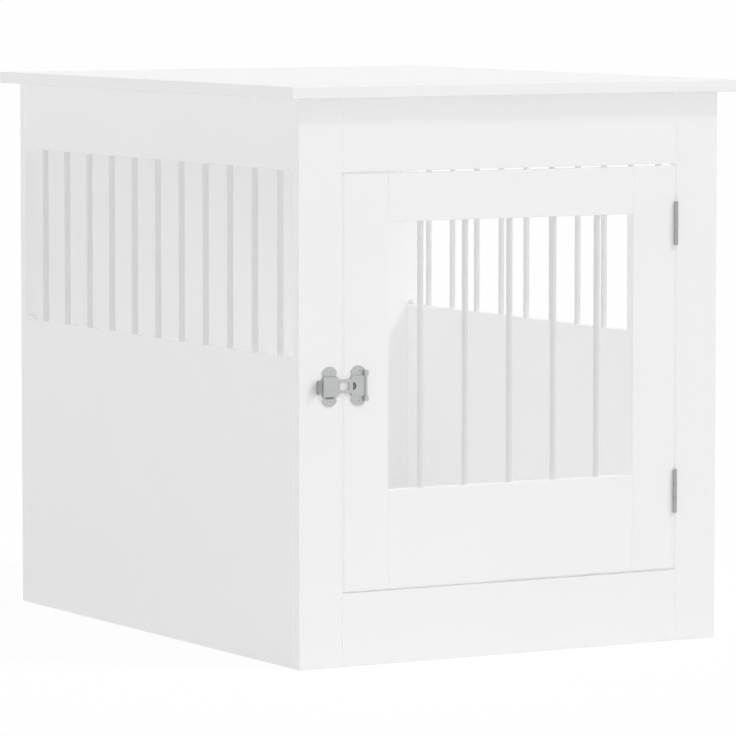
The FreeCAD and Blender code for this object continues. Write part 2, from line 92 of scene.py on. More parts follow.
def join(tree, source, target):
    """Links an output socket to an input socket."""
    tree.links.new(source, target)


def calc(tree, operation, first, second=None):
    """A Math node on sockets or plain numbers, and its output socket."""
    made = add_node(tree, "ShaderNodeMath", operation=operation)
    for number, value in enumerate((first, second)):
        if isinstance(value, bpy.types.NodeSocket):
            join(tree, value, made.inputs[number])
        elif value is not None:
            made.inputs[number].default_value = value
    return made.outputs[0]


def new_material(name):
    """A material with one Principled shader, ready for its inputs."""
    made = bpy.data.materials.new(name)
    made.use_nodes = True
    tree = made.node_tree
    tree.nodes.clear()
    shader = add_node(tree, "ShaderNodeBsdfPrincipled")
    output = add_node(tree, "ShaderNodeOutputMaterial")
    join(tree, shader.outputs["BSDF"], output.inputs["Surface"])
    return made, tree, shader


def shader_group(name, inputs, outputs):
    """An empty shader group with named sockets: (name, kind, default)."""
    tree = bpy.data.node_groups.new(name, "ShaderNodeTree")
    for label, kind, value in inputs:
        socket = tree.interface.new_socket(label, in_out="INPUT", socket_type=kind)
        socket.default_value = value
    for label, kind in outputs:
        tree.interface.new_socket(label, in_out="OUTPUT", socket_type=kind)
    return tree, tree.nodes.new("NodeGroupInput"), tree.nodes.new("NodeGroupOutput")


def use_group(tree, group, values):
    """Places a group in a tree with its own values."""
    made = add_node(tree, "ShaderNodeGroup", node_tree=group)
    for key, value in values.items():
        made.inputs[key].default_value = value
    return made


print("helpers ready")


# %% [markdown]
# ## A group for coated surfaces
#
# Laminate and powder coat look plain, yet neither is one flat value. The tone drifts a little
# over a board, the gloss drifts with it, and a fine ripple breaks up each reflection. Two
# noises do that: a broad one for the drift and a fine one for the ripple. As a group with
# named inputs, the same nodes serve the white boards and the grey bars at their own scales.

# %% Coated surface group
FLOAT, COLOR, VECTOR = "NodeSocketFloat", "NodeSocketColor", "NodeSocketVector"
SURFACE = [("Color", COLOR), ("Roughness", FLOAT), ("Height", FLOAT)]
MIX_A, MIX_B, MIX_OUT = 6, 7, 2      # a colour Mix node's sockets, which share their names


def end_surface(tree, start, end, tone_noise, gloss_noise, height_noise):
    """Ends a surface group: one noise for colour, one for roughness, one for height."""
    tone = add_node(tree, "ShaderNodeMix", data_type="RGBA")
    join(tree, tone_noise.outputs["Fac"], tone.inputs["Factor"])
    join(tree, start.outputs["Color"], tone.inputs[MIX_A])
    join(tree, start.outputs["Shade"], tone.inputs[MIX_B])
    gloss = add_node(tree, "ShaderNodeMapRange")
    join(tree, gloss_noise.outputs["Fac"], gloss.inputs["Value"])
    join(tree, start.outputs["Roughness Low"], gloss.inputs["To Min"])
    join(tree, start.outputs["Roughness High"], gloss.inputs["To Max"])
    join(tree, tone.outputs[MIX_OUT], end.inputs["Color"])
    join(tree, gloss.outputs["Result"], end.inputs["Roughness"])
    join(tree, height_noise.outputs["Fac"], end.inputs["Height"])


def coat_group():
    """Colour, roughness and height of a coated surface, from object coordinates."""
    tree, start, end = shader_group(
        "coated_surface",
        [("Color", COLOR, (0.8, 0.8, 0.8, 1)), ("Shade", COLOR, (0.7, 0.7, 0.7, 1)),
         ("Drift Scale", FLOAT, 4.0), ("Ripple Scale", FLOAT, 900.0),
         ("Roughness Low", FLOAT, 0.35), ("Roughness High", FLOAT, 0.45)],
        SURFACE)
    place = add_node(tree, "ShaderNodeTexCoord")
    drift = add_node(tree, "ShaderNodeTexNoise", {"Detail": 3.0, "Roughness": 0.55})
    ripple = add_node(tree, "ShaderNodeTexNoise", {"Detail": 2.0, "Roughness": 0.5})
    for noise, label in ((drift, "Drift Scale"), (ripple, "Ripple Scale")):
        join(tree, place.outputs["Object"], noise.inputs["Vector"])
        join(tree, start.outputs[label], noise.inputs["Scale"])
    end_surface(tree, start, end, drift, drift, ripple)
    return tree


coated = coat_group()
print("group:", coated.name, [item.name for item in coated.interface.items_tree])


# %% [markdown]
# ## A group for drawn and brushed metal
#
# The hasp, the hinges and the screws are bare or thinly plated steel. Rolling and brushing
# leave fine lines that all run one way, so the noise is squeezed along one axis of the piece
# by a Vector Math node. The lines change the roughness and the height a little and the colour
# not at all, which is what makes metal read as metal and not as grey paint.

# %% Brushed metal group
def metal_group():
    """Colour, roughness and height of brushed metal; Stretch is the squeeze per axis."""
    tree, start, end = shader_group(
        "brushed_metal",
        [("Color", COLOR, (0.5, 0.5, 0.5, 1)), ("Shade", COLOR, (0.4, 0.4, 0.4, 1)),
         ("Stretch", VECTOR, (1.0, 1.0, 12.0)), ("Scale", FLOAT, 120.0),
         ("Roughness Low", FLOAT, 0.25), ("Roughness High", FLOAT, 0.45)],
        SURFACE)
    place = add_node(tree, "ShaderNodeTexCoord")
    squeeze = add_node(tree, "ShaderNodeVectorMath", operation="MULTIPLY")
    lines = add_node(tree, "ShaderNodeTexNoise", {"Detail": 4.0, "Roughness": 0.6})
    cloud = add_node(tree, "ShaderNodeTexNoise", {"Scale": 60.0, "Detail": 2.0})
    join(tree, place.outputs["Object"], squeeze.inputs[0])
    join(tree, start.outputs["Stretch"], squeeze.inputs[1])
    join(tree, squeeze.outputs["Vector"], lines.inputs["Vector"])
    join(tree, start.outputs["Scale"], lines.inputs["Scale"])
    join(tree, place.outputs["Object"], cloud.inputs["Vector"])
    end_surface(tree, start, end, cloud, lines, lines)
    return tree


brushed = metal_group()
print("group:", brushed.name)


# %% [markdown]
# ## The finishes
#
# Each finish is one material. The shader stays in the material, with its fixed values on its
# own sockets, and only what changes over the surface comes from a group.

# %% Materials
def finish(name, group, values, bump_mm, **fixed):
    """A material whose colour, roughness and bump come from a group with these values."""
    made, tree, shader = new_material(name)
    for key, value in fixed.items():
        shader.inputs[key.replace("_", " ")].default_value = value
    source = use_group(tree, group, values)
    join(tree, source.outputs["Color"], shader.inputs["Base Color"])
    join(tree, source.outputs["Roughness"], shader.inputs["Roughness"])
    bump = add_node(tree, "ShaderNodeBump", {"Strength": 1.0, "Distance": bump_mm * mm})
    join(tree, source.outputs["Height"], bump.inputs["Height"])
    join(tree, bump.outputs["Normal"], shader.inputs["Normal"])
    return made


white_laminate = finish(
    "white_laminate", coated,
    {"Color": (0.925, 0.925, 0.922, 1), "Shade": (0.905, 0.906, 0.905, 1),
     "Drift Scale": 5.0, "Ripple Scale": 700.0, "Roughness Low": 0.50, "Roughness High": 0.60},
    0.02, Specular_IOR_Level=0.42)
grey_bar_coat = finish(
    "grey_bar_coat", coated,
    {"Color": (0.78, 0.782, 0.785, 1), "Shade": (0.74, 0.742, 0.745, 1),
     "Drift Scale": 30.0, "Ripple Scale": 1500.0, "Roughness Low": 0.36, "Roughness High": 0.46},
    0.02, IOR=1.5)
satin_nickel = finish(
    "satin_nickel", brushed,
    {"Color": (0.60, 0.61, 0.61, 1), "Shade": (0.54, 0.55, 0.55, 1),
     "Stretch": (1.0, 1.0, 9.0), "Scale": 160.0, "Roughness Low": 0.42, "Roughness High": 0.56},
    0.01, Metallic=1.0)
plated_steel = finish(
    "plated_steel", brushed,
    {"Color": (0.46, 0.465, 0.47, 1), "Shade": (0.40, 0.405, 0.41, 1),
     "Stretch": (1.0, 1.0, 6.0), "Scale": 200.0, "Roughness Low": 0.30, "Roughness High": 0.45},
    0.01, Metallic=1.0)
zinc_plate = finish(
    "zinc_plate", brushed,
    {"Color": (0.66, 0.665, 0.66, 1), "Shade": (0.58, 0.59, 0.59, 1),
     "Stretch": (1.0, 1.0, 1.0), "Scale": 260.0, "Roughness Low": 0.22, "Roughness High": 0.38},
    0.008, Metallic=1.0)
# dark colour of the painted shade strips on the hasp
painted_shade_dark = finish(
    "painted_shade_dark", brushed,
    {"Color": (0.25, 0.253, 0.26, 1), "Shade": (0.20, 0.203, 0.21, 1),
     "Stretch": (1.0, 1.0, 6.0), "Scale": 200.0, "Roughness Low": 0.45, "Roughness High": 0.60},
    0.005, Metallic=1.0)
beech = finish(
    "beech", brushed,
    {"Color": (0.60, 0.42, 0.25, 1), "Shade": (0.50, 0.33, 0.19, 1),
     "Stretch": (8.0, 1.0, 8.0), "Scale": 90.0, "Roughness Low": 0.55, "Roughness High": 0.75},
    0.05)
slot_finish = {
    "white_board": white_laminate,
    "bar_coat": grey_bar_coat,
    "latch_steel": satin_nickel,
    "hinge_steel": plated_steel,
    "screw_steel": zinc_plate,
    "cam_zinc": zinc_plate,
    "dowel_wood": beech,
}
for row in frame["record"]["subparts"]:
    solid = frame["nodes"][row["node"]]
    solid.data.materials.clear()
    solid.data.materials.append(slot_finish[row["material_slot"]])
print("finishes:", sorted(m.name for m in slot_finish.values()))


# %% [markdown]
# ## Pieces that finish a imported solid
#
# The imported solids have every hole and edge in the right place, but their faces are loose
# triangles and their edges are knife-sharp. A copy is merged into whole faces, gets a Bevel
# modifier that only works on real edges, and becomes a plain mesh. It could be modelled anew
# from boxes, but then each bore would have to be cut again, and might miss its screw.
#
# The widths given here are the most that a piece can get, and not what each one has. The
# modifier keeps its bevels from overlapping, which is the likely reason that pieces with very
# short edges came out narrower. Three are as good as sharp: the latch flap, the latch plate on
# the door and the door's bottom rail. Merging their short edges first may repair that.

# %% Softened copies
SMOOTH_ANGLE_DEG = 32
BEVEL_ANGLE_DEG = 28
FLAT_ANGLE_DEG = 1               # faces that differ by less than this become one
MERGE_MM = 0.001                 # points closer than this become one
FLAT_FACE_WEIGHT = 100
HAIRLINE_MM = 0.55
BOARD_END_MM = 2                 # points this close to a board's end move with it


def link(name, mesh):
    """A new object for a mesh, in the scene."""
    made = bpy.data.objects.new(name, mesh)
    bpy.context.scene.collection.objects.link(made)
    return made


def link_work(name, work):
    """A new object from a bmesh, which is freed."""
    mesh = bpy.data.meshes.new(name)
    work.to_mesh(mesh)
    work.free()
    return link(name, mesh)


def to_plain_mesh(made):
    """Turns an object's modifiers into mesh, then removes them."""
    bpy.context.view_layer.update()
    depsgraph = bpy.context.evaluated_depsgraph_get()
    result = bpy.data.meshes.new_from_object(made.evaluated_get(depsgraph))
    made.modifiers.clear()
    made.data = result
    return made


def shade_smooth(made):
    """Smooth shading that breaks only at real edges."""
    made.data.polygons.foreach_set("use_smooth", [True] * len(made.data.polygons))
    made.data.set_sharp_from_angle(angle=math.radians(SMOOTH_ANGLE_DEG))
    return made


def dress(made, node, material):
    """Gives a piece its finish and body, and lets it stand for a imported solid."""
    made.data.materials.clear()
    made.data.materials.append(material)
    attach(made, frame["nodes"][node]["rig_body"])
    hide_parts(node)
    return made


def whole_copy(node, name):
    """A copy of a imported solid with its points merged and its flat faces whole."""
    mesh = frame["nodes"][node].data.copy()
    mesh.name = name
    normals = mesh.attributes.get("custom_normal")
    if normals:
        mesh.attributes.remove(normals)
    work = bmesh.new()
    work.from_mesh(mesh)
    bmesh.ops.remove_doubles(work, verts=work.verts, dist=MERGE_MM * mm)
    bmesh.ops.dissolve_limit(work, angle_limit=math.radians(FLAT_ANGLE_DEG),
                             verts=work.verts, edges=work.edges)
    work.to_mesh(mesh)
    work.free()
    return link(name, mesh)


def draw_in_ends(mesh, axis, gap_mm):
    """Moves both ends of a board inwards along an axis, which leaves a hairline joint."""
    places = [vert.co[axis] for vert in mesh.vertices]
    low, high = min(places), max(places)
    for vert in mesh.vertices:
        if vert.co[axis] < low + BOARD_END_MM * mm:
            vert.co[axis] += gap_mm * mm
        elif vert.co[axis] > high - BOARD_END_MM * mm:
            vert.co[axis] -= gap_mm * mm


def softened(node, width_mm, segments, material, joint_axis=None):
    """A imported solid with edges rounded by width_mm at most, and hairline joints at its ends."""
    made = whole_copy(node, node + "_finished")
    if joint_axis is not None:
        draw_in_ends(made.data, joint_axis, HAIRLINE_MM)
    bevel = made.modifiers.new("soften", "BEVEL")
    bevel.limit_method = "ANGLE"
    bevel.angle_limit = math.radians(BEVEL_ANGLE_DEG)
    bevel.width = width_mm * mm
    bevel.segments = segments
    shade_smooth(to_plain_mesh(made))
    flat = made.modifiers.new("flat_faces_stay_flat", "WEIGHTED_NORMAL")
    flat.keep_sharp = True
    flat.weight = FLAT_FACE_WEIGHT
    to_plain_mesh(made)
    return dress(made, node, material)


print("softening helpers ready")


# %% [markdown]
# ## The boards
#
# The boards are particle board under a white foil. The foil is wrapped or banded over each
# edge, which leaves a small round and not a corner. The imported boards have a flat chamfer
# there already, so a narrow bevel on the chamfer's two edges makes it nearly round.
#
# Where a rail meets a stile, or a side meets the front and the back, the dowels and cams pull
# the boards together, yet a hairline stays and shows as a thin grey line. The ends of those
# boards are drawn in by about half a millimetre, so the line comes from real shadow.

# %% Boards
BOARD_SOFT_MM = 0.18
BOARD_SEGMENTS = 2
JOINT_AXIS = {           # board -> axis along which its ends meet other boards
    "front_top_rail": 0, "front_bottom_rail": 0, "door_top_rail": 0, "door_bottom_rail": 0,
    "left_side_lower_panel": 1, "left_side_upper_rail": 1,
    "right_side_lower_panel": 1, "right_side_upper_rail": 1,
}
boards = [row["node"] for row in frame["record"]["subparts"]
          if row["material_slot"] == "white_board"]
for node in boards:
    softened(node, BOARD_SOFT_MM, BOARD_SEGMENTS, white_laminate, JOINT_AXIS.get(node))
print("boards softened:", len(boards))


# %% [markdown]
# ## Geometry Nodes for what repeats
#
# The bars, screws, dowels and caps are the same thing many times over. Each could be a list of
# copies, but a node tree says the rule once: take a mesh that has one point for each place,
# put the thing on every point, and turn it to the point's own direction. The trees are built
# here with named inputs, and each result becomes one plain mesh for its body.

# %% Helpers for geometry trees
def geometry_tree(name, inputs):
    """An empty geometry tree with a mesh in, a mesh out and named inputs."""
    tree = bpy.data.node_groups.new(name, "GeometryNodeTree")
    tree.interface.new_socket("Places", in_out="INPUT", socket_type="NodeSocketGeometry")
    for label, kind, value in inputs:
        socket = tree.interface.new_socket(label, in_out="INPUT", socket_type=kind)
        if value is not None:
            socket.default_value = value
    tree.interface.new_socket("Result", in_out="OUTPUT", socket_type="NodeSocketGeometry")
    return tree, tree.nodes.new("NodeGroupInput"), tree.nodes.new("NodeGroupOutput")


def run_tree(name, tree, points, values, ways=None):
    """Runs a tree on points, each with its own direction, and returns a plain mesh."""
    mesh = bpy.data.meshes.new(name)
    mesh.from_pydata([tuple(point) for point in points], [], [])
    way = mesh.attributes.new("way", "FLOAT_VECTOR", "POINT")
    for number, direction in enumerate(ways or [(0, 0, 1)] * len(points)):
        way.data[number].vector = direction
    made = link(name, mesh)
    modifier = made.modifiers.new("grow", "NODES")
    modifier.node_group = tree
    for item in tree.interface.items_tree:
        if item.item_type == "SOCKET" and item.name in values:
            modifier[item.identifier] = values[item.name]
    return shade_smooth(to_plain_mesh(made))


def solids_of(node):
    """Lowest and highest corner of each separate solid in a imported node."""
    work = bmesh.new()
    work.from_mesh(frame["nodes"][node].data)
    bmesh.ops.remove_doubles(work, verts=work.verts, dist=MERGE_MM * mm)
    left = set(work.verts)
    boxes = []
    while left:
        group = [left.pop()]
        for vert in group:
            for edge in vert.link_edges:
                other = edge.other_vert(vert)
                if other in left:
                    left.remove(other)
                    group.append(other)
        low = Vector([min(vert.co[axis] for vert in group) for axis in range(3)])
        high = Vector([max(vert.co[axis] for vert in group) for axis in range(3)])
        boxes.append((low, high))
    work.free()
    return sorted(boxes, key=lambda box: [round(box[0][axis], 4) for axis in (2, 0, 1)])


print("solids in the door's bars:", len(solids_of("door_bars")))


# %% [markdown]
# ## The bars
#
# Each bar is a steel rod with a pale grey coat, cut square, with its cut edges broken, and
# pushed into blind bores. The tree starts from a Mesh Cylinder with four rings. The two end
# rings, above and below a quarter of the length, are drawn in, and the two middle rings are
# pushed out close to the ends, which gives the broken edge without any cutting.

# %% Bar tree
def bar_tree():
    """Upright bars with chamfered ends; each place is a bar's middle."""
    tree, start, end = geometry_tree("upright_bars", [
        ("Diameter", FLOAT, 0.008), ("Length", FLOAT, 0.3), ("Chamfer", FLOAT, 0.0006),
        ("Sides", "NodeSocketInt", 32), ("Coat", "NodeSocketMaterial", None)])
    length, chamfer = start.outputs["Length"], start.outputs["Chamfer"]
    radius = calc(tree, "MULTIPLY", start.outputs["Diameter"], 0.5)
    half_length = calc(tree, "MULTIPLY", length, 0.5)
    bar = add_node(tree, "GeometryNodeMeshCylinder", {"Side Segments": 3})
    join(tree, start.outputs["Sides"], bar.inputs["Vertices"])
    join(tree, radius, bar.inputs["Radius"])
    join(tree, length, bar.inputs["Depth"])
    place = add_node(tree, "GeometryNodeInputPosition")
    parts = add_node(tree, "ShaderNodeSeparateXYZ")
    join(tree, place.outputs[0], parts.inputs[0])
    height = calc(tree, "ABSOLUTE", parts.outputs["Z"])
    at_end = calc(tree, "GREATER_THAN", height, calc(tree, "MULTIPLY", length, 0.25))
    share = calc(tree, "DIVIDE", calc(tree, "SUBTRACT", radius, chamfer), radius)
    width = add_node(tree, "ShaderNodeMix", {"A": 1.0}, data_type="FLOAT")
    join(tree, at_end, width.inputs["Factor"])
    join(tree, share, width.inputs["B"])
    level = add_node(tree, "ShaderNodeMix", data_type="FLOAT")
    join(tree, at_end, level.inputs["Factor"])
    join(tree, calc(tree, "SUBTRACT", half_length, chamfer), level.inputs["A"])
    join(tree, half_length, level.inputs["B"])
    side = calc(tree, "SIGN", parts.outputs["Z"])
    moved = add_node(tree, "ShaderNodeCombineXYZ")
    for axis in "XY":
        across = calc(tree, "MULTIPLY", parts.outputs[axis], width.outputs["Result"])
        join(tree, across, moved.inputs[axis])
    join(tree, calc(tree, "MULTIPLY", level.outputs["Result"], side), moved.inputs["Z"])
    shaped = add_node(tree, "GeometryNodeSetPosition")
    join(tree, bar.outputs["Mesh"], shaped.inputs["Geometry"])
    join(tree, moved.outputs[0], shaped.inputs["Position"])
    put = add_node(tree, "GeometryNodeInstanceOnPoints")
    solid = add_node(tree, "GeometryNodeRealizeInstances")
    coat = add_node(tree, "GeometryNodeSetMaterial")
    join(tree, start.outputs["Places"], put.inputs["Points"])
    join(tree, shaped.outputs[0], put.inputs["Instance"])
    join(tree, put.outputs[0], solid.inputs[0])
    join(tree, solid.outputs[0], coat.inputs["Geometry"])
    join(tree, start.outputs["Coat"], coat.inputs["Material"])
    join(tree, coat.outputs[0], end.inputs[0])
    return tree


bars_tree = bar_tree()
print("tree:", bars_tree.name, "with", len(bars_tree.nodes), "nodes")


# %% [markdown]
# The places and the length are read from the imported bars, so the new ones sit in the same
# bores. Forty sides keep a bar's outline round even in a close view.

# %% Bars
BAR_SIDES = 40
BAR_CHAMFER_MM = 0.6
for node in ("left_side_bars", "right_side_bars", "door_bars"):
    boxes = solids_of(node)
    low, high = boxes[0]
    middles = [(low + high) / 2 for low, high in boxes]
    bars = run_tree(node + "_finished", bars_tree, middles, {
        "Diameter": high.x - low.x, "Length": high.z - low.z,
        "Chamfer": BAR_CHAMFER_MM * mm, "Sides": BAR_SIDES, "Coat": grey_bar_coat})
    dress(bars, node, grey_bar_coat)
    print(node, len(boxes), "bars,", round((high.z - low.z) / mm, 1), "mm long")


# %% [markdown]
# ## Screws and dowels
#
# Each kind has a turned prototype: a countersunk screw with a cross recess and rings for its
# thread, and a beech dowel with flutes along it. A prototype is a profile of radius and
# height swept round an axis. The recess is cut with a Boolean modifier, because a tapered
# cross in a slightly domed head is awkward to model face by face and easy to subtract.

# %% Prototypes
def turned(name, profile, sides, flute=0.0):
    """Mesh swept round Z from (radius, height) pairs; flute draws in every other side."""
    work = bmesh.new()
    rings = []
    for radius, height in profile:
        if radius == 0:
            rings.append([work.verts.new((0, 0, height))] * sides)
            continue
        ring = []
        for step in range(sides):
            angle = 2 * math.pi * step / sides
            reach = radius - (flute if step % 2 else 0)
            ring.append(work.verts.new((reach * math.cos(angle), reach * math.sin(angle), height)))
        rings.append(ring)
    for low, high in zip(rings, rings[1:]):
        for step in range(sides):
            after = (step + 1) % sides
            corners = [low[step], low[after], high[after], high[step]]
            work.faces.new(list(dict.fromkeys(corners)))
    bmesh.ops.recalc_face_normals(work, faces=work.faces)
    return link_work(name, work)


TIP_LONG, TIP_SHORT = 0.45, 0.8  # size of an arm's deep end, along it and across it
CUTTER_ABOVE = 0.3               # how far the cutter rises over the head, in recess depths


def cross_cutter(arm, width, depth, top):
    """Tapered cross that cuts the recess of a screw's head."""
    work = bmesh.new()
    for size_x, size_y in ((arm, width), (width, arm)):
        cube = bmesh.ops.create_cube(work, size=1.0)
        for vert in cube["verts"]:
            deep = vert.co.z < 0
            vert.co.x *= size_x * (TIP_LONG if deep else 1.0)
            vert.co.y *= size_y * (TIP_SHORT if deep else 1.0)
            if deep and size_x < size_y:     # this arm lies along Y, so the tapers change places
                vert.co.x *= TIP_SHORT / TIP_LONG
                vert.co.y *= TIP_LONG / TIP_SHORT
            vert.co.z = top - depth if deep else top + depth * CUTTER_ABOVE
    return link_work("cross_cutter", work)


PITCH_MM = 1.3
POINT_MM = 3.0                   # length of the screw's point
PLAIN_MM = 1.0                   # the rings end this far below the head's cone
NECK_MM = 0.3
ROOT_SHARE = 0.37                # radius between the rings, as a share of the shank's diameter
RING_AT, ROOT_AT = 0.5, 0.95     # where in a pitch the ring is highest and where it ends
HEAD_SHAPE = [(0.94, 0.45), (0.7, 0.85)]         # shares of the head's radius and dome
RECESS_SHAPE = (1.15, 0.3, 0.5)  # arm, width and depth, as shares of the head's radius
SCREW_SIDES = 28


def screw_prototype(name, head_d, shank_d, length, dome):
    """Countersunk screw along -Z with its flat at z = 0 and a shallow dome on it."""
    head, shank, root = head_d / 2, shank_d / 2, shank_d * ROOT_SHARE
    cone = head - shank
    pitch = PITCH_MM * mm
    level = -length + POINT_MM * mm
    profile = [(0, -length), (root, level)]
    while level + pitch < -cone - PLAIN_MM * mm:
        profile += [(shank, level + pitch * RING_AT), (root, level + pitch * ROOT_AT)]
        level += pitch
    profile += [(shank, -cone - NECK_MM * mm), (shank, -cone), (head, 0)]
    profile += [(head * reach, dome * rise) for reach, rise in HEAD_SHAPE] + [(0, dome)]
    screw = turned(name, profile, SCREW_SIDES)
    cutter = cross_cutter(*(head * share for share in RECESS_SHAPE), dome)
    cut = screw.modifiers.new("recess", "BOOLEAN")
    cut.object = cutter
    cut.operation = "DIFFERENCE"
    cut.solver = "EXACT"
    cut.use_self = True
    to_plain_mesh(screw)
    bpy.data.objects.remove(cutter)
    return screw


print("a screw has", SCREW_SIDES, "sides and a pitch of", PITCH_MM, "mm")


# %% [markdown]
# One tree serves every kind. It puts the prototype on each point, turns its Z axis to the
# point's own direction, and spins it by a random angle from a fixed seed, because no one lines
# up the crosses of their screws.

# %% Fastener tree
FULL_TURN = 6.283        # radians


def fastener_tree():
    """Prototype on each place, along the place's direction, spun at random."""
    tree, start, end = geometry_tree("fasteners", [
        ("Prototype", "NodeSocketObject", None), ("Seed", "NodeSocketInt", 1),
        ("Metal", "NodeSocketMaterial", None)])
    shape = add_node(tree, "GeometryNodeObjectInfo", {"As Instance": True})
    way = add_node(tree, "GeometryNodeInputNamedAttribute", {"Name": "way"},
                   data_type="FLOAT_VECTOR")
    turn = add_node(tree, "FunctionNodeAlignRotationToVector", axis="Z")
    angle = add_node(tree, "FunctionNodeRandomValue",
                     {"Min": (0, 0, 0), "Max": (0, 0, FULL_TURN)}, data_type="FLOAT_VECTOR")
    spin = add_node(tree, "FunctionNodeEulerToRotation")
    both = add_node(tree, "FunctionNodeRotateRotation", rotation_space="LOCAL")
    join(tree, start.outputs["Prototype"], shape.inputs["Object"])
    join(tree, way.outputs["Attribute"], turn.inputs["Vector"])
    join(tree, start.outputs["Seed"], angle.inputs["Seed"])
    join(tree, angle.outputs["Value"], spin.inputs["Euler"])
    join(tree, turn.outputs["Rotation"], both.inputs["Rotation"])
    join(tree, spin.outputs["Rotation"], both.inputs["Rotate By"])
    put = add_node(tree, "GeometryNodeInstanceOnPoints")
    solid = add_node(tree, "GeometryNodeRealizeInstances")
    coat = add_node(tree, "GeometryNodeSetMaterial")
    join(tree, start.outputs["Places"], put.inputs["Points"])
    join(tree, shape.outputs["Geometry"], put.inputs["Instance"])
    join(tree, both.outputs["Rotation"], put.inputs["Rotation"])
    join(tree, put.outputs[0], solid.inputs[0])
    join(tree, solid.outputs[0], coat.inputs["Geometry"])
    join(tree, start.outputs["Metal"], coat.inputs["Material"])
    join(tree, coat.outputs[0], end.inputs[0])
    return tree


fasteners = fastener_tree()
print("tree:", fasteners.name, "with", len(fasteners.nodes), "nodes")


# %% [markdown]
# A screw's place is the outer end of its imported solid. The hinge screws have flat heads, so
# that the leaves can lie close together in the door's gap. The latch's heads are domed.

# %% Screws
SCREW_SETS = [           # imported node, direction in which the head looks, seed
    ("frame_hinge_screws", (-1, 0, 0), 3),
    ("door_hinge_screws", (1, 0, 0), 5),
    ("latch_cabinet_screws", (0, -1, 0), 8),
    ("latch_door_screws", (0, -1, 0), 13),
]
SCREW_HEAD_MM = 5.6
SCREW_SHANK_MM = 3.0
FLAT_DOME_MM, LATCH_DOME_MM = 0.02, 0.35         # hinge screws are flat, the latch's are not


def head_centre(box, way):
    """Middle of the end of a box that lies furthest along a direction."""
    low, high = box
    middle = (low + high) / 2
    half = (high - low) / 2
    return middle + Vector([half[axis] * way[axis] for axis in range(3)])


for node, way, seed in SCREW_SETS:
    boxes = solids_of(node)
    size = boxes[0][1] - boxes[0][0]
    dome = (FLAT_DOME_MM if "hinge" in node else LATCH_DOME_MM) * mm
    one = screw_prototype("one_screw", SCREW_HEAD_MM * mm, SCREW_SHANK_MM * mm, max(size), dome)
    heads = [head_centre(box, way) for box in boxes]
    screws = run_tree(node + "_finished", fasteners, heads,
                      {"Prototype": one, "Seed": seed, "Metal": zinc_plate}, [way] * len(heads))
    dress(screws, node, zinc_plate)
    bpy.data.objects.remove(one)
    print(node, len(boxes), "screws,", len(screws.data.polygons), "faces")


# %% [markdown]
# A dowel has flutes, so that glue and air can leave the blind bore, and a broken edge at
# each end. Twenty sides with every other one drawn in give ten flutes.

# %% Dowels
DOWEL_MM = 8.0
FLUTE_MM = 0.25
DOWEL_CHAMFER_MM = 1.0
DOWEL_SIDES = 20
for node, seed in (("cabinet_dowels", 21), ("door_dowels", 34)):
    boxes = solids_of(node)
    spans = [high - low for low, high in boxes]
    length = max(spans[0])
    radius = DOWEL_MM * mm / 2
    chamfer = DOWEL_CHAMFER_MM * mm
    profile = [(0, -length / 2), (radius - chamfer, -length / 2), (radius, chamfer - length / 2),
               (radius, length / 2 - chamfer), (radius - chamfer, length / 2), (0, length / 2)]
    one = turned("one_dowel", profile, DOWEL_SIDES, FLUTE_MM * mm)
    middles = [(low + high) / 2 for low, high in boxes]
    ways = [tuple(1.0 if side == max(span) else 0.0 for side in span) for span in spans]
    dowels = run_tree(node + "_finished", fasteners, middles,
                      {"Prototype": one, "Seed": seed, "Metal": beech}, ways)
    dress(dowels, node, beech)
    bpy.data.objects.remove(one)
    print(node, len(boxes), "dowels", round(length / mm, 1), "mm long")


# %% [markdown]
# Each cam lock sits flush in the inner face of its board, under a thin white cap that is
# pressed into it, so the inside of the cabinet stays plain. The caps are one more turned
# prototype on the same tree. A cap looks into the cabinet, and under the floor board it
# looks down.

# %% Cam caps
CAP_MM = 17.0
CAP_RISE_MM = 0.8
CAP_SIDES = 32
CAP_SHAPE = [(0, 0), (1, 0), (1, 0.35), (0.97, 0.7), (0.9, 0.92), (0.7, 1), (0, 1)]
CAP_SEED = 55


def cap_way(box):
    """Direction of a lock's open face: towards the cabinet's middle, or down at the floor."""
    low, high = box
    span = high - low
    axis = min(range(3), key=lambda number: span[number])
    middle = (low + high) / 2
    way = [0.0, 0.0, 0.0]
    way[axis] = -1.0 if axis == 2 or middle[axis] > 0 else 1.0
    return tuple(way)


cap_radius, cap_height = CAP_MM * mm / 2, CAP_RISE_MM * mm
cap_profile = [(cap_radius * reach, cap_height * rise) for reach, rise in CAP_SHAPE]
cap = turned("one_cap", cap_profile, CAP_SIDES)
lock_boxes = solids_of("cam_locks")
lock_ways = [cap_way(box) for box in lock_boxes]
cap_places = [head_centre(box, way) for box, way in zip(lock_boxes, lock_ways)]
cam_caps = run_tree("cam_caps", fasteners, cap_places,
                    {"Prototype": cap, "Seed": CAP_SEED, "Metal": white_laminate}, lock_ways)
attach(cam_caps, "cabinet")
bpy.data.objects.remove(cap)
print("cam caps:", len(lock_boxes))


# %% [markdown]
# ## Corner blocks
#
# At the rear end of each side's low board, on its top edge and against the back board, the
# photograph shows a small mark. It is read as a moulded white corner block that ties the two
# boards together. A cube with a Bevel modifier is enough for a block of this size.

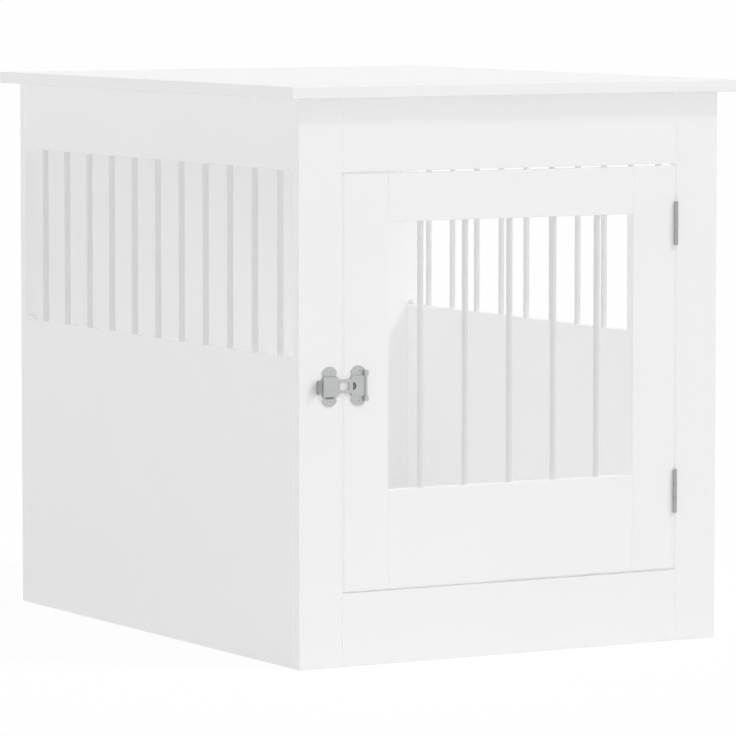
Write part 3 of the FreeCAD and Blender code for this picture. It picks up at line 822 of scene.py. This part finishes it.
# %% Corner blocks
BLOCK_MM = (9.0, 10.0, 6.5)      # across, along and above the low board
BLOCK_SOFT_MM = 1.2
BLOCK_SEGMENTS = 4
block_white = finish(
    "block_white", coated,
    {"Color": (0.88, 0.88, 0.875, 1), "Shade": (0.86, 0.86, 0.855, 1),
     "Drift Scale": 40.0, "Ripple Scale": 2500.0, "Roughness Low": 0.45, "Roughness High": 0.55},
    0.02, Specular_IOR_Level=0.42)
back_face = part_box("back_panel")[0][1]
for side in ("left", "right"):
    low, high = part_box(side + "_side_lower_panel")
    across, along, above = (value * mm for value in BLOCK_MM)
    middle = Vector(((low[0] + high[0]) / 2, back_face - along / 2, high[2] + above / 2))
    work = bmesh.new()
    bmesh.ops.create_cube(work, size=1.0, matrix=Matrix.Translation(middle)
                          @ Matrix.Diagonal((across, along, above, 1.0)))
    block = link_work(side + "_corner_block", work)
    rounding = block.modifiers.new("rounding", "BEVEL")
    rounding.width = BLOCK_SOFT_MM * mm
    rounding.segments = BLOCK_SEGMENTS
    shade_smooth(to_plain_mesh(block))
    block.data.materials.append(block_white)
    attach(block, "cabinet")
    print(block.name, "at", [round(value / mm) for value in middle])


# %% [markdown]
# ## Hinges and hasp
#
# The hinges and the hasp are pressed from sheet and tumbled, so real ones have no sharp edge.
# Their imported solids have the holes, knuckles and bends in place, and a bevel with three
# segments softens the edges of the hinges and most of the hasp. As said above, the flap and
# the plate on the door stay as good as sharp.
#
# The finger tab is painted darker than the head. Its nickel turns dark from the head's edge on,
# as painted shade standing in for the shade and dark reflection in the tab's curl. The mask
# is the piece's own X coordinate, broken up by noise, and it moves with the flap.

# %% Metalwork
# painted shade on the finger tab: its dark colour, where it starts and how it fades
TAB_PAINTED_SHADE = (0.32, 0.325, 0.33, 1)
TAB_SHADE_FROM_MM = 0.5         # the darkening starts this far inside the head's edge
TAB_SHADE_FADE_MM = 2.5
TAB_CLOUD_SCALE = 350.0
TAB_CLOUD_RANGE = (-0.2, 1.7)
METAL_SEGMENTS = 3


def worn_nickel(tab_x):
    """Satin nickel with painted shade: dark where x is below tab_x, with a cloudy border."""
    made = satin_nickel.copy()
    made.name = "worn_nickel"
    tree = made.node_tree
    shader = next(node for node in tree.nodes if node.type == "BSDF_PRINCIPLED")
    colour = shader.inputs["Base Color"].links[0].from_socket
    place = add_node(tree, "ShaderNodeTexCoord")
    parts = add_node(tree, "ShaderNodeSeparateXYZ")
    join(tree, place.outputs["Object"], parts.inputs[0])
    shade_reach = add_node(tree, "ShaderNodeMapRange", {
        "From Min": tab_x + TAB_SHADE_FROM_MM * mm,
        "From Max": tab_x + (TAB_SHADE_FROM_MM - TAB_SHADE_FADE_MM) * mm})
    join(tree, parts.outputs["X"], shade_reach.inputs["Value"])
    cloud = add_node(tree, "ShaderNodeTexNoise", {"Scale": TAB_CLOUD_SCALE, "Detail": 2.0})
    join(tree, place.outputs["Object"], cloud.inputs["Vector"])
    patchy = add_node(tree, "ShaderNodeMapRange",
                      {"To Min": TAB_CLOUD_RANGE[0], "To Max": TAB_CLOUD_RANGE[1]})
    join(tree, cloud.outputs["Fac"], patchy.inputs["Value"])
    amount = add_node(tree, "ShaderNodeMath", operation="MULTIPLY", use_clamp=True)
    join(tree, shade_reach.outputs["Result"], amount.inputs[0])
    join(tree, patchy.outputs["Result"], amount.inputs[1])
    tone = add_node(tree, "ShaderNodeMix", {"B": TAB_PAINTED_SHADE}, data_type="RGBA")
    join(tree, amount.outputs[0], tone.inputs["Factor"])
    join(tree, colour, tone.inputs[MIX_A])
    join(tree, tone.outputs[MIX_OUT], shader.inputs["Base Color"])
    return made


head_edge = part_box("latch_cabinet_plate")[0][0]
# the flap gets nickel with painted shade on its finger tab
tab_shaded_nickel = worn_nickel(head_edge)
METAL_SOFT = [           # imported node, widest softening in mm, finish
    ("upper_hinge_frame_leaf", 0.12, plated_steel),
    ("upper_hinge_door_leaf", 0.12, plated_steel),
    ("lower_hinge_frame_leaf", 0.12, plated_steel),
    ("lower_hinge_door_leaf", 0.12, plated_steel),
    ("upper_hinge_pin", 0.25, plated_steel),
    ("lower_hinge_pin", 0.25, plated_steel),
    ("latch_cabinet_plate", 0.3, satin_nickel),
    ("latch_door_plate", 0.3, satin_nickel),
    ("latch_flap", 0.25, tab_shaded_nickel),
    ("latch_stud", 0.25, satin_nickel),
    ("latch_pin", 0.15, satin_nickel),
    ("cam_locks", 0.15, zinc_plate),
]
for node, width_mm, metal in METAL_SOFT:
    piece = softened(node, width_mm, METAL_SEGMENTS, metal)
    print(piece.name, len(piece.data.polygons), "faces")


# %% [markdown]
# Two dark spots mark the hasp: the half-round hole in the flap's root, and a bar under the
# head's lower edge. Both are painted shade: a thin dark strip stands where there is only
# shade. One lies on the door's plate behind the hole. The other lies on the cabinet's plate
# and runs down from the stud, below the head. Each is a thin strip with rounded corners,
# and it fits in the clearance between the flap and its plates.

# %% Painted shade strips
STRIP_MM = 0.2
STRIP_CORNER_MM = 1.0
CORNER_STEPS = 6
# size and place of the two dark strips of painted shade
HOLE_SHADE_STRIP_MM = (1.2, 8.6, 12.0)      # near and far side from the door plate's edge, height
HEAD_SHADE_STRIP_MM = (11.5, 4.8, 14.8)     # width, then upper and lower end below the stud's centre


def strip(name, body, box):
    """Thin dark plate of painted shade with rounded corners on the face of a latch plate: x, y and
    z limits.
    """
    (x0, x1), (y0, y1), (z0, z1) = box
    radius = STRIP_CORNER_MM * mm
    outline = []
    for x, z, start in ((x1 - radius, z1 - radius, 0), (x0 + radius, z1 - radius, 90),
                        (x0 + radius, z0 + radius, 180), (x1 - radius, z0 + radius, 270)):
        for step in range(CORNER_STEPS + 1):
            angle = math.radians(start + step * 90 / CORNER_STEPS)
            outline.append((x + radius * math.cos(angle), z + radius * math.sin(angle)))
    work = bmesh.new()
    front_ring = [work.verts.new((x, y0, z)) for x, z in outline]
    back_ring = [work.verts.new((x, y1, z)) for x, z in outline]
    work.faces.new(front_ring)
    work.faces.new(back_ring)
    for here in range(len(outline)):
        after = (here + 1) % len(outline)
        work.faces.new([front_ring[here], front_ring[after], back_ring[after], back_ring[here]])
    bmesh.ops.recalc_face_normals(work, faces=work.faces)
    made = shade_smooth(link_work(name, work))
    made.data.materials.append(painted_shade_dark)
    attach(made, body)
    return made


door_low, door_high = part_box("latch_door_plate")
frame_low, frame_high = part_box("latch_cabinet_plate")
latch_z = (frame_low[2] + frame_high[2]) / 2
frame_x = (frame_low[0] + frame_high[0]) / 2
plate_face = frame_low[1]
depth = (plate_face - STRIP_MM * mm, plate_face)
near, far, height = (value * mm for value in HOLE_SHADE_STRIP_MM)
strip("latch_hole_strip", "door",
      ((door_low[0] + near, door_low[0] + far), depth,
       (latch_z - height / 2, latch_z + height / 2)))
width, upper, lower = (value * mm for value in HEAD_SHADE_STRIP_MM)
strip("latch_snap_strip", "cabinet",
      ((frame_x - width / 2, frame_x + width / 2), depth, (latch_z - lower, latch_z - upper)))
print("painted shade strips lie on the plates at y", round(plate_face / mm, 2), "mm")


# %% [markdown]
# ## Floor, light and camera
#
# The photograph shows the table against plain white. A white floor could be had by pouring
# light on it, but then the white boards would burn out. So the floor and the world show
# white only to rays that come from the camera, a reflection or glass, and light the table
# at a plain level. The floor still takes part of its brightness from the light that falls on
# it, so it keeps the table's soft shadow.

# %% Floor and world
FLOOR_SIZE = 600.0       # metres, so that its edge is never seen
FLOOR_SHADOW = 0.14      # share of the floor's brightness that follows the light
FLOOR_GREY = (0.70, 0.70, 0.70, 1)
WORLD_LIGHT = 0.52


def seen_plainly(tree):
    """1 where a ray comes from the camera, a mirror or glass, otherwise 0."""
    path = add_node(tree, "ShaderNodeLightPath")
    seen = calc(tree, "MAXIMUM", path.outputs["Is Camera Ray"], path.outputs["Is Glossy Ray"])
    return calc(tree, "MAXIMUM", seen, path.outputs["Is Transmission Ray"])


def floor_material():
    """White to the eye, plain pale grey to the light."""
    made = bpy.data.materials.new("studio_floor")
    made.use_nodes = True
    tree = made.node_tree
    tree.nodes.clear()
    matt = add_node(tree, "ShaderNodeBsdfDiffuse", {"Color": FLOOR_GREY})
    pale = add_node(tree, "ShaderNodeBsdfDiffuse", {"Color": (1, 1, 1, 1)})
    white = add_node(tree, "ShaderNodeEmission", {"Color": (1, 1, 1, 1), "Strength": 1.0})
    shown = add_node(tree, "ShaderNodeMixShader", {0: 1 - FLOOR_SHADOW})
    choice = add_node(tree, "ShaderNodeMixShader")
    output = add_node(tree, "ShaderNodeOutputMaterial")
    join(tree, pale.outputs[0], shown.inputs[1])
    join(tree, white.outputs[0], shown.inputs[2])
    join(tree, seen_plainly(tree), choice.inputs[0])
    join(tree, matt.outputs[0], choice.inputs[1])
    join(tree, shown.outputs[0], choice.inputs[2])
    join(tree, choice.outputs[0], output.inputs["Surface"])
    return made


def make_floor():
    """One large square under the table."""
    mesh = bpy.data.meshes.new("floor")
    half = FLOOR_SIZE / 2
    corners = [(-half, -half, 0), (half, -half, 0), (half, half, 0), (-half, half, 0)]
    mesh.from_pydata(corners, [], [(0, 1, 2, 3)])
    mesh.materials.append(floor_material())
    made = link("floor", mesh)


def make_world(strength):
    """Even light from all round, and white where the camera sees it."""
    world = bpy.data.worlds.new("studio")
    world.use_nodes = True
    tree = world.node_tree
    tree.nodes.clear()
    light = add_node(tree, "ShaderNodeBackground", {"Color": (1, 1, 1, 1), "Strength": strength})
    white = add_node(tree, "ShaderNodeBackground", {"Color": (1, 1, 1, 1), "Strength": 1.0})
    choice = add_node(tree, "ShaderNodeMixShader")
    output = add_node(tree, "ShaderNodeOutputWorld")
    join(tree, seen_plainly(tree), choice.inputs[0])
    join(tree, light.outputs[0], choice.inputs[1])
    join(tree, white.outputs[0], choice.inputs[2])
    join(tree, choice.outputs[0], output.inputs["Surface"])
    bpy.context.scene.world = world


make_floor()
make_world(WORLD_LIGHT)
print("floor", FLOOR_SIZE, "m, world light", WORLD_LIGHT)


# %% [markdown]
# One lamp gives the boxes their form. It is high, in front and to the right, so the front is
# a little brighter than the left side, the overhang throws a soft line on the front, and
# light slips through the right-hand bars onto the back board. A sun is used, because its
# light is the same at every distance, with a wide disc, because its shadows are then soft.
#
# A cabinet is dark inside, where the photograph shows it nearly as bright as outside. A lamp
# in the cabin would glare on the nearest board. Four weak suns that cast no shadow do it
# better: they stand round the table like the corners of a tetrahedron, so every upright side,
# inside or out, gets a small lift. The two low ones are nearly level, because an underside
# that is lit too well throws a glow on the boards below the overhang.

# %% Lamps
def sun(name, towards, strength, disc_deg, shadow=True):
    """Sun lamp from a direction. No reflection shows it, so metal shows the white room."""
    lamp = bpy.data.lights.new(name, "SUN")
    lamp.energy = strength
    lamp.angle = math.radians(disc_deg)
    lamp.use_shadow = shadow
    made = bpy.data.objects.new(name, lamp)
    made.visible_glossy = False
    made.rotation_euler = Vector(towards).to_track_quat("Z", "Y").to_euler()
    bpy.context.scene.collection.objects.link(made)
    return made


KEY_FROM = (0.50, -0.45, 0.74)
KEY_STRENGTH = 0.58
KEY_DISC_DEG = 9
LIFT_DISC_DEG = 60
LIFTS = [                # direction the light comes from, strength
    ((-1, -1, -0.3), 0.80),
    ((-1, 1, 1), 0.62),
    ((1, -1, 1), 0.88),
    ((0.8, 1, -0.3), 1.18),
]
sun("key_light", KEY_FROM, KEY_STRENGTH, KEY_DISC_DEG)
for number, (corner, strength) in enumerate(LIFTS):
    sun(f"lift_light_{number}", corner, strength, LIFT_DISC_DEG, shadow=False)
print("key", KEY_STRENGTH, "lifts", [strength for corner, strength in LIFTS])


# %% [markdown]
# The camera stands far off with a long lens, a little above the table top, and looks down by
# about five degrees. Its place comes from a fit of the cabinet's real sizes to the
# photograph's edges. A shifted lens would keep the uprights exactly parallel, but the shift
# would push the table out of every other view, so the camera is tilted instead.

# %% Camera
CAMERA_AT = (-3.3228, -5.8188, 0.8912)
CAMERA_YAW_DEG = 29.826        # turned from +Y towards +X
CAMERA_DOWN_DEG = 4.797
CAMERA_LENS_MM = 252.19
CAMERA_SENSOR_MM = 36.0
CAMERA_SEES_M = 2000.0         # far enough for the whole floor

camera_data = bpy.data.cameras.new("camera")
camera_data.sensor_width = CAMERA_SENSOR_MM
camera_data.lens = CAMERA_LENS_MM
camera_data.clip_end = CAMERA_SEES_M
camera = bpy.data.objects.new("camera", camera_data)
camera.location = CAMERA_AT
camera.rotation_euler = (math.radians(90 - CAMERA_DOWN_DEG), 0, -math.radians(CAMERA_YAW_DEG))
bpy.context.scene.collection.objects.link(camera)
bpy.context.scene.camera = camera
bpy.context.scene.view_settings.view_transform = "Standard"
print("camera at", CAMERA_AT, "lens", CAMERA_LENS_MM)
